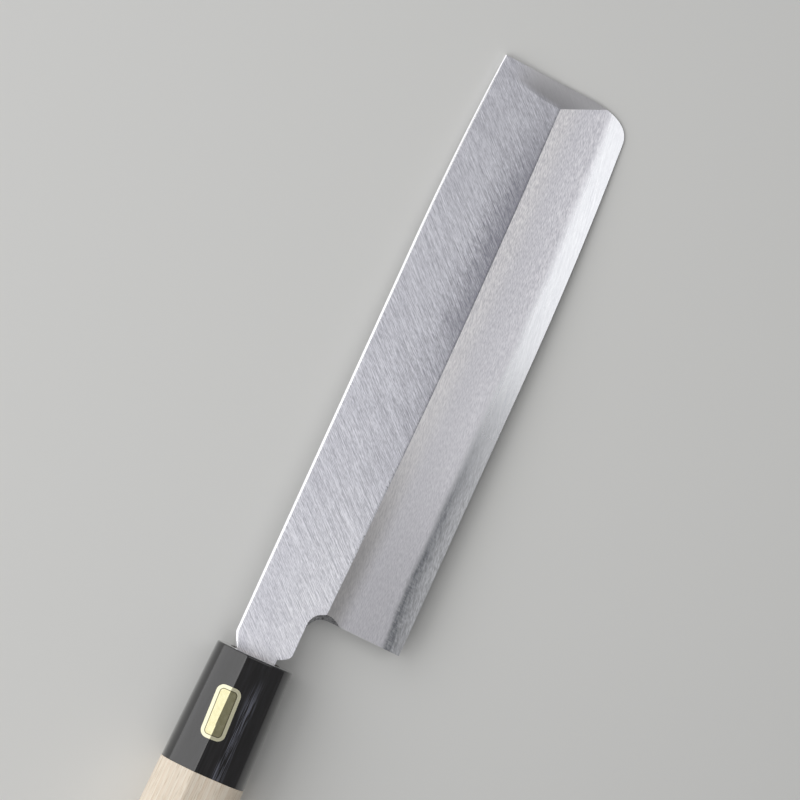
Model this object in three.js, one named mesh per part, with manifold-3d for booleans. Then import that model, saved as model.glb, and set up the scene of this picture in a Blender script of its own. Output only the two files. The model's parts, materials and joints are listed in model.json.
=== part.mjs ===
// A right-handed usuba, the straight-edged Japanese vegetable knife, lying on its flat back as on a table.
// A laminated single-bevel blade has its tang driven into a magnolia-wood handle with a horn ferrule.
// Millimetres, +Z up. The finished knife stands on z = 0, centred on the origin, with its tip towards +X.
//
// The pieces are drawn in the knife's own frame: X from the ferrule's front face to the tip,
// Y from the cutting edge to the spine, Z out of the bevelled side, and the handle's axis along y = z = 0.
import * as THREE from "three";
import { mergeVertices } from "three/addons/utils/BufferGeometryUtils.js";
import Module from "manifold-3d";

const { degToRad, lerp } = THREE.MathUtils;
const wasm = await Module();
wasm.setup();

// Blade, seen from the bevelled side
const bladeLength = 165; // heel to tip
const bladeHeight = 44.2; // spine to edge
const spineHeight = 7.8; // spine above the handle's axis
const spineFallLength = 57; // the spine falls gently over this stretch before the tip
const spineFallDrop = 1.9;
const edgeBellyLength = 82; // the edge rises gently over this stretch before the tip
const edgeBellyRise = 2.9;
const tipRake = degToRad(3); // the square end leans back from spine to edge
const tipCornerAlongEnd = 14.2; // reach of the rounded corner
const tipCornerAlongEdge = 7.1;
const neckLength = 16.5; // ferrule's front face to heel
const neckWidth = 17.2; // spine to the underside of the neck
const heelRake = degToRad(1.6); // the heel leans forward from edge to choil
const choilRadius = 5; // round between the neck and the heel
const choilLean = degToRad(27); // slope of the ground wall of that round
const spineShoulderLength = 4.4; // slope from the spine down to the tang
const neckShoulderLength = 3.2; // rounded step from the neck up to the tang
const neckShoulderGap = 1.7; // ferrule's front face to that step

// Blade, across its section
const neckThickness = 3.6; // at the ferrule
const tipThickness = 2.4; // at the tip, before the end is ground thinner
const edgeThickness = 0.2;
const ridgeDepthAtHeel = 21.1; // spine to the ridge where the bevel starts
const ridgeDepthAtTip = 21.9;
const ridgeBow = 1.1; // how far the middle of the ridge bows towards the edge
const spineChamfer = 0.45;
const tipFacetAtRidge = 6.5; // length of the facet that thins the square end
const tipFacetAtSpine = 4;
const tipEndThickness = 0.9; // what that facet leaves at the rounded corner

// Hard steel plate on the back of the blade
const steelThickness = 0.95;
const steelStart = 9; // from the ferrule's front face
const weldGap = 0.05;
const hollowDepth = 0.35;
const hollowRim = 2.6; // flat left round the hollow
const hollowFloor = 5; // width of the hollow's deepest part
const hollowSquareness = 0.3; // 1 is an oval hollow, and nearer 0 its corners are sharper

// Handle, ferrule and tang
const handleLength = 128; // ferrule's front face to butt
const handleFrontHeight = 22.9; // across the section, along Y and along Z
const handleFrontWidth = 18.8;
const handleButtHeight = 28;
const handleButtWidth = 23;
const handleFlare = 1.8; // 1 is a straight taper, and more widens the handle earlier
const handleSquareness = 2.3; // 2 is an oval section
const gripRidgePlaceRatio = 0.18; // place and rise of the ridge under the fingers, in half sizes
const gripRidgeRiseRatio = 0.075;
const buttChamfer = 1.4;
const ferruleLength = 35.5;
const ferruleChamfer = 0.5;
const tangWidth = 11.9;
const tangEndWidth = 6;
const tangEndThickness = 2;
const tangRelief = 0.2; // the tang is thinner than the neck by this on each side
const buttWood = 35; // solid wood behind the tang's slot
const slotGap = 0.25; // tang to wood
const slotEndGap = 0.9;
const tenonWall = 1.2; // wood beside the tang's narrow and broad sides
const tenonCheek = 4;
const tenonRecess = 0.4; // the tenon stops short of the ferrule's front face
const glueGap = 0.08; // ferrule to tenon, and to the handle's shoulder

// Foil label, centred on the ferrule's ridge
const labelLength = 15.6;
const labelWidth = 7.2;
const labelCorner = 2.2;
const labelThickness = 0.12;
const labelGap = 0.06;

// How finely curves are drawn
const bladeSteps = 28;
const bellySteps = 14;
const cornerSteps = 14;
const handleSteps = 12;
const sectionSteps = 72;
const hollowRoundSteps = 64;
const hollowSteps = 6;
const overcut = 3; // how far a cutting shape runs past what it cuts

// Places worked out from the sizes
const tipX = neckLength + bladeLength;
const edgeY = spineHeight - bladeHeight;
const neckY = spineHeight - neckWidth;
const backZ = -neckThickness / 2;
const choilY = neckY - choilRadius;
const choilX = neckLength + (choilY - edgeY) * Math.tan(heelRake) - choilRadius;
const tangLength = handleLength - buttWood - slotEndGap;
const tangThickness = neckThickness - 2 * tangRelief;
const tenonHeight = tangWidth + 2 * (slotGap + tenonWall);
const tenonWidth = tangThickness + 2 * (slotGap + tenonCheek);
const hollowSlope = (bladeHeight - spineFallDrop - edgeBellyRise - hollowFloor) / 2 - hollowRim;

// Share of a curve that starts this far before the tip and bends more and more towards it.
const curveShare = (x, length) => Math.max(0, 1 - (tipX - x) / length) ** 2;
const spineAt = (x) => spineHeight - spineFallDrop * curveShare(x, spineFallLength);
const edgeAt = (x) => edgeY + edgeBellyRise * curveShare(x, edgeBellyLength);
const ridgeAt = (x) => {
  const share = THREE.MathUtils.clamp((x - neckLength) / bladeLength, 0, 1);
  const depth = lerp(ridgeDepthAtHeel, ridgeDepthAtTip, share) + ridgeBow * Math.sin(Math.PI * share);
  return spineHeight - depth;
};
const faceAt = (x) => backZ + lerp(neckThickness, tipThickness, x / tipX);
const endAt = (y) => tipX - (spineAt(tipX) - y) * Math.tan(tipRake);

// Evenly spaced places from start to end, both included.
const spaced = (start, end, steps) =>
  Array.from({ length: steps + 1 }, (_, i) => lerp(start, end, i / steps));

// A closed solid through sections with equal counts of points, counter-clockwise from its far end.
function loft(sections) {
  const count = sections[0].length;
  const points = sections.flat();
  const lastStart = points.length - count;
  const faces = [];
  for (let start = 0; start < lastStart; start += count) {
    for (let i = 0; i < count; i++) {
      const a = start + i;
      const b = start + ((i + 1) % count);
      faces.push(a, b, b + count, a, b + count, a + count);
    }
  }
  for (const start of [0, lastStart]) {
    const centre = new THREE.Vector3();
    for (const point of points.slice(start, start + count)) centre.addScaledVector(point, 1 / count);
    points.push(centre);
    for (let i = 0; i < count; i++) {
      const side = [start + i, start + ((i + 1) % count)];
      if (start === 0) side.reverse();
      faces.push(...side, points.length - 1);
    }
  }
  return new THREE.BufferGeometry().setFromPoints(points).setIndex(faces);
}

// A box between two corners.
function block(low, high) {
  const size = high.map((value, axis) => value - low[axis]);
  const middle = high.map((value, axis) => (value + low[axis]) / 2);
  return new THREE.BoxGeometry(...size).translate(...middle);
}

// An outline in X and Y, extruded between two heights.
function prism(shape, low, high) {
  const options = { depth: high - low, bevelEnabled: false, curveSegments: cornerSteps };
  return new THREE.ExtrudeGeometry(shape, options).translate(0, 0, low);
}

// A closed geometry as a solid that can be joined and cut.
function solidOf(geometry) {
  const bare = geometry.clone();
  bare.deleteAttribute("normal");
  bare.deleteAttribute("uv");
  const merged = mergeVertices(bare, 1e-4);
  const vertProperties = new Float32Array(merged.attributes.position.array);
  const triVerts = new Uint32Array(merged.index.array);
  return new wasm.Manifold(new wasm.Mesh({ numProp: 3, vertProperties, triVerts }));
}

function meshOf(solid, name, color, roughness, metalness) {
  const { vertProperties, triVerts, numProp } = solid.getMesh();
  const geometry = new THREE.BufferGeometry();
  geometry.setAttribute("position", new THREE.BufferAttribute(vertProperties, numProp));
  geometry.setIndex(new THREE.BufferAttribute(triVerts, 1));
  const mesh = new THREE.Mesh(geometry, new THREE.MeshStandardMaterial({ color, roughness, metalness }));
  mesh.name = name;
  return mesh;
}

// Outline of the blade and neck. The spine side is left proud, for the section to trim.
function bladeOutline() {
  const cornerY = edgeAt(endAt(edgeY));
  const cornerX = endAt(cornerY);
  const cornerTop = cornerY + tipCornerAlongEnd;
  const bellyStart = tipX - edgeBellyLength;
  const proudY = spineHeight + overcut;
  const shoulderX = neckShoulderGap + neckShoulderLength;
  const shape = new THREE.Shape();
  shape.moveTo(0, -tangWidth / 2);
  shape.lineTo(neckShoulderGap, -tangWidth / 2);
  shape.quadraticCurveTo(neckShoulderGap + neckShoulderLength / 3, neckY, shoulderX, neckY);
  shape.absarc(choilX, choilY, choilRadius, Math.PI / 2, 0, true);
  shape.lineTo(neckLength, edgeY);
  for (const x of spaced(bellyStart, cornerX - tipCornerAlongEdge, bellySteps)) shape.lineTo(x, edgeAt(x));
  shape.quadraticCurveTo(cornerX, cornerY, endAt(cornerTop), cornerTop);
  shape.lineTo(endAt(proudY), proudY);
  shape.lineTo(spineShoulderLength, proudY);
  shape.lineTo(spineShoulderLength, spineHeight);
  shape.lineTo(0, tangWidth / 2);
  return shape;
}

// Section across the blade: flat back, chamfered spine, flat face down to the ridge, and then the bevel,
// which runs on past the edge until it meets the back.
function bladeSection(x) {
  const spine = spineAt(x);
  const face = faceAt(x);
  const bevelSlope = (face - backZ - edgeThickness) / (ridgeAt(x) - edgeAt(x));
  const corners = [
    [edgeAt(x) - edgeThickness / bevelSlope, backZ],
    [spine - spineChamfer, backZ],
    [spine, backZ + spineChamfer],
    [spine, face - spineChamfer],
    [spine - spineChamfer, face],
    [ridgeAt(x), face],
  ];
  return corners.map(([y, z]) => new THREE.Vector3(x, y, z));
}

// All that lies above the facet at the square end. The facet leaves the flat face on a line
// from the spine to the end of the ridge, and falls to the rounded corner.
function aboveTipFacet() {
  const ridgeX = endAt(ridgeAt(tipX)) - tipFacetAtRidge;
  const ridgeEnd = new THREE.Vector3(ridgeX, ridgeAt(ridgeX), faceAt(ridgeX));
  const spineX = tipX - tipFacetAtSpine;
  const spineEnd = new THREE.Vector3(spineX, spineAt(spineX), faceAt(spineX));
  const roundY = edgeAt(tipX) + tipCornerAlongEdge;
  const roundCorner = new THREE.Vector3(endAt(roundY), roundY, backZ + tipEndThickness);
  const along = spineEnd.clone().sub(ridgeEnd).normalize();
  const normal = roundCorner.clone().sub(ridgeEnd).cross(along).normalize();
  const across = normal.clone().cross(along);
  const place = new THREE.Matrix4().makeBasis(along, across, normal).setPosition(ridgeEnd);
  const reach = 2 * bladeHeight;
  return block([-reach, -reach, 0], [reach, reach, neckThickness]).applyMatrix4(place);
}

// The wheel that grinds the choil leans, so its wall slopes out towards the back.
function choilWheel() {
  const height = 2 * (neckThickness + overcut);
  const lean = new THREE.Matrix4().makeShear(0, 0, 0, 0, Math.tan(choilLean), 0);
  return new THREE.CylinderGeometry(choilRadius, choilRadius, height, 4 * cornerSteps)
    .rotateX(Math.PI / 2)
    .applyMatrix4(lean)
    .translate(choilX, choilY, backZ);
}

// The shallow hollow of the back: rings that follow the blade's sides and deepen towards the middle.
function backHollow() {
  const startX = choilX + choilRadius + hollowRim;
  const endX = endAt(edgeY) - hollowRim;
  const squared = (value) => Math.sign(value) * Math.abs(value) ** hollowSquareness;
  const ringPoint = (angle, inset, z) => {
    const halfLength = (endX - startX) / 2 - inset;
    const x = (startX + endX) / 2 + halfLength * squared(Math.cos(angle));
    const low = edgeAt(x) + hollowRim + inset;
    const high = spineAt(x) - hollowRim - inset;
    return new THREE.Vector3(x, lerp(low, high, (1 + squared(Math.sin(angle))) / 2), z);
  };
  const angles = spaced(0, 2 * Math.PI, hollowRoundSteps).slice(0, -1);
  const ring = (inset, z) => angles.map((angle) => ringPoint(angle, inset, z));
  const bowl = spaced(0, 1, hollowSteps).map((share) => {
    const depth = hollowDepth * (1 - (1 - share) ** 2);
    return ring(hollowSlope * share, backZ + depth);
  });
  return loft([ring(0, backZ - overcut), ...bowl]);
}

// Section of the tang, or of its slot when it is grown by a gap.
function tangSection(x, grow) {
  const share = Math.max(0, -x / tangLength);
  const y = lerp(tangWidth, tangEndWidth, share) / 2 + grow;
  const z = lerp(tangThickness, tangEndThickness, share) / 2 + grow;
  const corners = [[-y, -z], [y, -z], [y, z], [-y, z]];
  return corners.map((corner) => new THREE.Vector3(x, ...corner));
}

// The handle's chestnut section, in half sizes: a squarish oval, with flats that rise to a ridge.
function chestnutSection() {
  const squared = (value) => Math.sign(value) * Math.abs(value) ** (2 / handleSquareness);
  const angles = spaced(0, 2 * Math.PI, sectionSteps).slice(0, -1);
  const oval = angles.map((angle) => new THREE.Vector2(squared(Math.cos(angle)), squared(Math.sin(angle))));
  const ridge = new THREE.Vector2(gripRidgePlaceRatio, 1 + gripRidgeRiseRatio);
  // The sides of the oval that face the ridge lie under the flats.
  const underFlats = oval.map((point, i) => {
    const side = oval[(i + 1) % sectionSteps].clone().sub(point);
    return side.cross(ridge.clone().sub(point)) < 0;
  });
  const first = underFlats.indexOf(true);
  const last = underFlats.lastIndexOf(true) + 1;
  const top = Math.round((first + last) / 2);
  return oval.map((point, i) => {
    if (i <= first || i >= last) return point;
    if (i <= top) return oval[first].clone().lerp(ridge, (i - first) / (top - first));
    return oval[last].clone().lerp(ridge, (last - i) / (last - top));
  });
}

const chestnut = chestnutSection();

// Half sizes of the handle at a place along it.
function handleHalves(x) {
  const share = 1 - (1 + x / handleLength) ** handleFlare;
  return [
    lerp(handleFrontHeight, handleButtHeight, share) / 2,
    lerp(handleFrontWidth, handleButtWidth, share) / 2,
  ];
}

function handleSection(x, grow) {
  const [halfHeight, halfWidth] = handleHalves(x);
  return chestnut.map((p) => new THREE.Vector3(x, p.x * (halfHeight + grow), p.y * (halfWidth + grow)));
}

// A stretch of the handle's outside, with its two ends chamfered as asked.
function handleStretch(back, backChamfer, front, frontChamfer, grow = 0) {
  const places = spaced(back + backChamfer, front - frontChamfer, handleSteps);
  const sections = places.map((x) => handleSection(x, grow));
  if (backChamfer) sections.unshift(handleSection(back, grow - backChamfer));
  if (frontChamfer) sections.push(handleSection(front, grow - frontChamfer));
  return solidOf(loft(sections));
}

// The oval tenon at the front of the handle, or its bore when it is grown by a gap.
function tenon(back, front, grow) {
  const oval = new THREE.CylinderGeometry(1, 1, front - back, sectionSteps)
    .rotateZ(-Math.PI / 2)
    .scale(1, tenonHeight / 2 + grow, tenonWidth / 2 + grow)
    .translate((back + front) / 2, 0, 0);
  return solidOf(oval);
}

// The finished blade before it is told apart into iron and steel.
function groundBlade() {
  const outline = solidOf(prism(bladeOutline(), backZ - overcut, backZ + neckThickness + overcut));
  const wedge = solidOf(loft(spaced(-overcut, tipX + overcut, bladeSteps).map(bladeSection)));
  return outline.intersect(wedge).subtract(solidOf(aboveTipFacet())).subtract(solidOf(choilWheel()));
}

// The space of the steel plate, grown by the gap that the weld keeps.
function steelLayer(grow) {
  const low = [steelStart - grow, edgeY - overcut, backZ - overcut];
  const high = [tipX + overcut, spineHeight + overcut, backZ + steelThickness + grow];
  return solidOf(block(low, high));
}

function ironBladeBody() {
  const tangSections = [tangSection(-tangLength, 0), tangSection(0, 0), tangSection(overcut, -tangRelief)];
  const solid = groundBlade().add(solidOf(loft(tangSections))).subtract(steelLayer(weldGap));
  return meshOf(solid, "iron_blade_body", 0xc4c5cb, 0.42, 1);
}

function steelEdgePlate() {
  const solid = groundBlade().intersect(steelLayer(0)).subtract(solidOf(backHollow()));
  return meshOf(solid, "steel_edge_plate", 0xdcdde1, 0.25, 1);
}

function hornFerrule() {
  const collar = handleStretch(-ferruleLength, 0, 0, ferruleChamfer);
  const solid = collar.subtract(tenon(-ferruleLength - overcut, overcut, glueGap));
  return meshOf(solid, "horn_ferrule", 0x0e0d0e, 0.2, 0);
}

function woodenHandle() {
  const grip = handleStretch(-handleLength, buttChamfer, -ferruleLength - glueGap, 0);
  const slotPlaces = [-tangLength - slotEndGap, 0, overcut];
  const slot = solidOf(loft(slotPlaces.map((x) => tangSection(x, slotGap))));
  const solid = grip.add(tenon(-ferruleLength - overcut, -tenonRecess, 0)).subtract(slot);
  return meshOf(solid, "wooden_handle", 0xdcc7a8, 0.7, 0);
}

// Thin foil folded over the ferrule's ridge, cut to a rectangle with round corners.
function foilLabel() {
  const front = (labelLength - ferruleLength) / 2;
  const back = front - labelLength;
  const middleY = gripRidgePlaceRatio * handleHalves(-ferruleLength / 2)[0];
  const low = middleY - labelWidth / 2;
  const high = middleY + labelWidth / 2;
  const shape = new THREE.Shape();
  shape.absarc(front - labelCorner, low + labelCorner, labelCorner, -Math.PI / 2, 0);
  shape.absarc(front - labelCorner, high - labelCorner, labelCorner, 0, Math.PI / 2);
  shape.absarc(back + labelCorner, high - labelCorner, labelCorner, Math.PI / 2, Math.PI);
  shape.absarc(back + labelCorner, low + labelCorner, labelCorner, Math.PI, 1.5 * Math.PI);
  const inside = handleStretch(-ferruleLength, 0, 0, 0, labelGap);
  const outside = handleStretch(-ferruleLength, 0, 0, 0, labelGap + labelThickness);
  const solid = outside.subtract(inside).intersect(solidOf(prism(shape, 0, handleButtWidth)));
  return meshOf(solid, "foil_label", 0xd9c877, 0.3, 1);
}

const knife = new THREE.Group();
knife.add(ironBladeBody(), steelEdgePlate(), hornFerrule(), woodenHandle(), foilLabel());

// The blade outweighs the handle, so the knife rests on the ferrule's lower front rim and on its tip.
const rimX = -ferruleChamfer;
const rimDrop = handleHalves(rimX)[1] + backZ;
knife.rotation.y = Math.atan2(rimDrop, tipX - rimX);

const usuba = new THREE.Group();
usuba.add(knife);
usuba.updateMatrixWorld(true);
const extent = new THREE.Box3().setFromObject(knife, true);
const middle = extent.getCenter(new THREE.Vector3());
knife.position.set(-middle.x, -middle.y, -extent.min.z);

export default usuba;
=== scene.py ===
import json
import math
from functools import partial

import bmesh
import bpy
from bmesh.types import BMEdge, BMFace, BMVert
from mathutils import Matrix, Vector


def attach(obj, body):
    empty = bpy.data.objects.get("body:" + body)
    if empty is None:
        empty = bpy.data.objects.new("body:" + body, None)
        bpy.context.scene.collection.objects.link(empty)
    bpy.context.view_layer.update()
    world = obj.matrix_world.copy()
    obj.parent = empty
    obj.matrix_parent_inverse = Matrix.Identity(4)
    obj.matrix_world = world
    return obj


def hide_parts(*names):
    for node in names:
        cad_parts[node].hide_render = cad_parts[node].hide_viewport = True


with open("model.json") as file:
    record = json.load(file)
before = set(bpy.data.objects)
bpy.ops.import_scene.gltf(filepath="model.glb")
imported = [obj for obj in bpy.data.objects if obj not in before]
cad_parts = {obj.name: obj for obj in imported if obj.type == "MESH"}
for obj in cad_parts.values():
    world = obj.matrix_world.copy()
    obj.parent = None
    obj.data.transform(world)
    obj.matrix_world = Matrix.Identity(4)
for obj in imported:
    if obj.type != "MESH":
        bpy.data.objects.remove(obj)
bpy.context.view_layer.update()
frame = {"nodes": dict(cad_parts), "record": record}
scene = bpy.context.scene
print("frame loaded:", ", ".join(sorted(frame["nodes"])))

# The knife is modelled lying level, in millimetres: X from the ferrule's front face to the tip,
# Y from the cutting edge to the spine, Z out of the bevelled side, the handle's axis at y = z = 0.
# restPlace then lays it down as the frame has it, on the ferrule's rim and the tip.
metre = 1000  # mm
handleLength = 128
buttFace = next(m for m in frame["record"]["mounts"] if m["name"] == "handle_butt")
alongKnife = -Vector(buttFace["axis"])
knifePitch = math.atan2(-alongKnife.z, alongKnife.x)
knifeOrigin = Vector(buttFace["pos_m"]) + alongKnife * handleLength / metre
levelPlace = Matrix.Translation(knifeOrigin) @ Matrix.Rotation(knifePitch, 4, "Y")
restPlace = levelPlace @ Matrix.Scale(1 / metre, 4)

cutDist, mergeDist, tiny, nearLine = 1e-5, 1e-4, 1e-3, 0.02  # tolerances in mm
flush, squareOn, facing, sideTilt = 0.9999, 0.99, 0.9, 0.75  # how far a face's normal lies along an axis


# Camera, square on to the blade
cameraSettings = {
    "distance": 1600,  # mm above the blade
    "lookAt": (81.7, -7.1, 0),
    "frameWidth": 223,  # mm of the knife across the picture
    "sensor": 36,
    "up": (0.91021, 0.41416, 0),  # knife direction that is upright in the picture
}


def makeCamera(s):
    up = Vector(s["up"]).normalized()
    right = up.cross(Vector((0, 0, 1)))
    place = Matrix((right, up, (0, 0, 1))).transposed().to_4x4()
    place.translation = (Vector(s["lookAt"]) + Vector((0, 0, s["distance"]))) / metre
    data = bpy.data.cameras.new("knifeCamera")
    data.sensor_width = s["sensor"]
    data.sensor_fit = "HORIZONTAL"
    data.lens = s["sensor"] * s["distance"] / s["frameWidth"]
    camera = bpy.data.objects.new("knifeCamera", data)
    camera.matrix_world = levelPlace @ place
    scene.collection.objects.link(camera)
    scene.camera = camera


makeCamera(cameraSettings)
print("camera placed")


# Small helpers for all materials
inColour = {"data_type": "RGBA", "out": 2}  # settings that many nodes share
eased = {"interpolation_type": "SMOOTHSTEP"}
asTexture = {"vector_type": "TEXTURE"}
plus, minus = {"operation": "ADD"}, {"operation": "SUBTRACT"}
times, timesPlus = {"operation": "MULTIPLY"}, {"operation": "MULTIPLY_ADD"}
noiseSpan, noiseMean = (0.3, 0.7), 0.5  # what a noise mostly keeps to


def linear(hexColour):
    channels = [int(hexColour[i:i + 2], 16) / 255 for i in (1, 3, 5)]
    return [c / 12.92 if c <= 0.04045 else ((c + 0.055) / 1.055) ** 2.4 for c in channels] + [1]


def setInputs(tree, node, inputs):  # links sockets, and sets plain values and hex colours
    for key, value in inputs.items():
        if isinstance(value, bpy.types.NodeSocket):
            tree.links.new(value, node.inputs[key])
        else:
            node.inputs[key].default_value = linear(value) if isinstance(value, str) else value


def addNode(tree, kind, inputs, out=0, **settings):  # gives the new node's output socket
    node = tree.nodes.new("ShaderNode" + kind)
    for name, value in settings.items():
        setattr(node, name, value)
    setInputs(tree, node, inputs)
    return node.outputs[out]


def span(limits):  # a range, from and to and then the values there, as sockets 1 to 4
    return dict(enumerate(limits, 1))


def startMaterial(name, grains):  # a grain is a noise: size in mm, turn in degrees, detail and roughness
    material = bpy.data.materials.new(name)
    material.use_nodes = True
    add = partial(addNode, material.node_tree)
    # object coordinates turned back into the level knife's millimetres
    objectPlace = add("TexCoord", {}, out="Object")
    knife = add("Mapping", {
        0: objectPlace, "Location": knifeOrigin, "Rotation": (0, knifePitch, 0), "Scale": (1 / metre,) * 3,
    }, **asTexture)
    grain = {}
    for key, (size, turn, detail, roughness) in grains.items():
        rotation = (0, 0, math.radians(turn))
        place = add("Mapping", {0: knife, "Rotation": rotation, "Scale": size}, **asTexture)
        noise = {"Vector": place, "Scale": 1, "Detail": detail, "Roughness": roughness}
        grain[key] = add("TexNoise", noise)
    return material, add, grain, knife


def finishMaterial(material, sockets, height, depth, sunk=False):  # with a relief of this depth in mm
    tree = material.node_tree
    relief = {"Height": height, "Strength": 1, "Distance": depth / metre}
    sockets["Normal"] = addNode(tree, "Bump", relief, invert=sunk)
    setInputs(tree, tree.nodes["Principled BSDF"], sockets)
    return material


# Small helpers for all meshes
def mix(low, high, share):
    return low + (high - low) * share


def smoothShare(value, start, stop):
    share = min(1, max(0, (value - start) / (stop - start)))
    return share * share * (3 - 2 * share)


def only(kind, geom):
    return [g for g in geom if isinstance(g, kind)]


def allGeom(bm):
    return bm.verts[:] + bm.edges[:] + bm.faces[:]


def partsOf(faces):  # with their edges and vertices, in a fixed order so that each run gives the same mesh
    return list(dict.fromkeys(g for f in faces for g in (f, *f.edges, *f.verts)))


def sliceMesh(bm, geom, point, normal, dist=cutDist, **options):
    return bmesh.ops.bisect_plane(bm, geom=geom, dist=dist, plane_co=point, plane_no=normal, **options)


def planeCut(bm, point, normal):  # takes off all on the normal's side and caps the cut
    cut = sliceMesh(bm, allGeom(bm), point, normal, clear_outer=True)
    edges = only(BMEdge, cut["geom_cut"])
    return bmesh.ops.contextual_create(bm, geom=edges)["faces"][0]


def growFace(bm, face):  # draws a face out, leaving no wall inside
    grown = bmesh.ops.extrude_face_region(bm, geom=[face])["geom"]
    bmesh.ops.delete(bm, geom=[face], context="FACES_ONLY")
    return only(BMFace, grown)[0]


def growRing(bm, edges):  # a new ring of vertices, joined to the last one by faces
    grown = bmesh.ops.extrude_edge_only(bm, edges=edges)["geom"]
    verts = only(BMVert, grown)
    edges = [e for e in only(BMEdge, grown) if all(v in verts for v in e.verts)]
    return verts, edges


def faceOutwards(bm):
    bmesh.ops.recalc_face_normals(bm, faces=bm.faces)


def easeEdges(bm, edges, width, segments):
    bmesh.ops.bevel(
        bm, geom=edges, affect="EDGES", offset=width, offset_type="OFFSET", segments=segments,
        profile=0.5, material=-1, clamp_overlap=True,
    )


finishSettings = {"sharpAngle": 30, "normalWeight": 80}  # degrees, and how much large faces count


def finishPiece(bm, name, node, materials):
    bmesh.ops.remove_doubles(bm, verts=bm.verts, dist=mergeDist)
    faceOutwards(bm)
    openEdges = sum(1 for e in bm.edges if len(e.link_faces) != 2)
    bmesh.ops.transform(bm, matrix=restPlace, verts=bm.verts)
    for f in bm.faces:
        f.smooth = True
    for e in bm.edges:
        if e.calc_face_angle(0) > math.radians(finishSettings["sharpAngle"]):
            e.smooth = False
    mesh = bpy.data.meshes.new(name)
    bm.to_mesh(mesh)
    bm.free()
    for material in materials:
        mesh.materials.append(material)
    piece = bpy.data.objects.new(name, mesh)
    scene.collection.objects.link(piece)
    evenNormals = piece.modifiers.new("evenNormals", "WEIGHTED_NORMAL")
    evenNormals.weight = finishSettings["normalWeight"]
    evenNormals.keep_sharp = True
    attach(piece, "root")
    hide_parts(node)
    print(name, "made:", len(mesh.polygons), "faces,", openEdges, "open edges")


# Blade: one ground wedge, told apart into the soft iron and the hard steel
bladeSettings = {
    "length": 165, "height": 44.2, "spineHeight": 7.8,
    "spineFallLength": 57, "spineFallDrop": 1.9, "edgeBellyLength": 82, "edgeBellyRise": 2.9,
    "tipRake": 3, "tipCornerAlongEnd": 14.2, "tipCornerAlongEdge": 7.1, "tipCornerCuts": 14,
    "neckLength": 16.5, "neckWidth": 17.2, "neckSide": (1, 22), "heelRake": 1.6, "heelReach": 1,
    "choilRadius": 5, "choilLean": 27, "choilSteps": 12, "choilReach": (-0.5, 9),
    "choilRows": (0.8, 1.6, 2.4, 3.2, 4.0, 4.6), "heelSlack": 0.1, "wallSlack": 0.2,
    "spineShoulder": 4.4, "neckShoulder": 3.2, "neckShoulderGap": 1.7, "shoulderSteps": 8,
    "neckThickness": 3.6, "tipThickness": 2.4, "edgeThickness": 0.2,
    "ridgeDepthAtHeel": 21.1, "ridgeDepthAtTip": 21.9, "ridgeBow": 1.1,
    "facetAtRidge": 6.5, "facetAtSpine": 4, "tipEndThickness": 0.9,
    "facetStrips": (-11, 5, 2), "facetTwist": (-12, 6), "facetLift": 0.82,
    "steelThickness": 0.95, "steelStart": 9,
    "tangWidth": 11.9, "tangEndWidth": 6, "tangThickness": 3.2, "tangEndThickness": 2,
    "tangLength": 92.1, "tangStep": 0.01,
    "sections": 44, "overrun": 4,  # the wedge is drawn past both ends and cut back
    "rollWidth": 8, "rollDrop": 0.12, "rollStart": 50, "rollEnd": 130,  # the flat rolls off before the ridge
    "crownSlope": 0.085, "crownWidth": 5, "crownStart": 50, "crownEnd": 120,  # a steeper bevel at the heel
    "spineChamferWidth": 0.65, "spineChamferDrop": 0.34, "spineChamferFade": 10, "spineChamferEnd": 0.45,
    "backEase": 0.28, "facetEase": 1.2, "edgeEase": 0.14,
}
b = bladeSettings
tipX = b["neckLength"] + b["length"]
edgeY = b["spineHeight"] - b["height"]
neckY = b["spineHeight"] - b["neckWidth"]
backZ = -b["neckThickness"] / 2
choilY = neckY - b["choilRadius"]
heelLean = math.tan(math.radians(b["heelRake"]))
choilX = b["neckLength"] + (choilY - edgeY) * heelLean - b["choilRadius"]
endLean = math.tan(math.radians(b["tipRake"]))
facetIndex = 3  # tells the tip's facet from the faces round it until the materials are given out
hollowIndex = 1  # and the back's hollow, whose material this is


def spineAt(x):
    return b["spineHeight"] - b["spineFallDrop"] * max(0, 1 - (tipX - x) / b["spineFallLength"]) ** 2


def edgeAt(x):
    return edgeY + b["edgeBellyRise"] * max(0, 1 - (tipX - x) / b["edgeBellyLength"]) ** 2


def ridgeAt(x):
    share = min(1, max(0, (x - b["neckLength"]) / b["length"]))
    depth = mix(b["ridgeDepthAtHeel"], b["ridgeDepthAtTip"], share)
    return b["spineHeight"] - (depth + b["ridgeBow"] * math.sin(math.pi * share))


def faceAt(x):
    return backZ + mix(b["neckThickness"], b["tipThickness"], x / tipX)


def rollAt(x):
    return b["rollDrop"] * smoothShare(x, b["rollStart"], b["rollEnd"])


def endAt(y):
    return tipX - (spineAt(tipX) - y) * endLean


def surfaceAt(x, y):  # height of the ground side: flat, roll-off, ridge and bevel
    ridge, face, roll = ridgeAt(x), faceAt(x), rollAt(x)
    if y >= ridge:
        return face - roll * max(0, 1 - (y - ridge) / b["rollWidth"]) ** 2
    crown = b["crownSlope"] * b["crownWidth"] / 2 * (1 - smoothShare(x, b["crownStart"], b["crownEnd"]))
    slope = (face - roll - crown - backZ - b["edgeThickness"]) / (ridge - edgeAt(x))
    share = min(1, (ridge - y) / b["crownWidth"])
    return face - roll - slope * (ridge - y) - crown * (2 * share - share * share)


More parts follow.
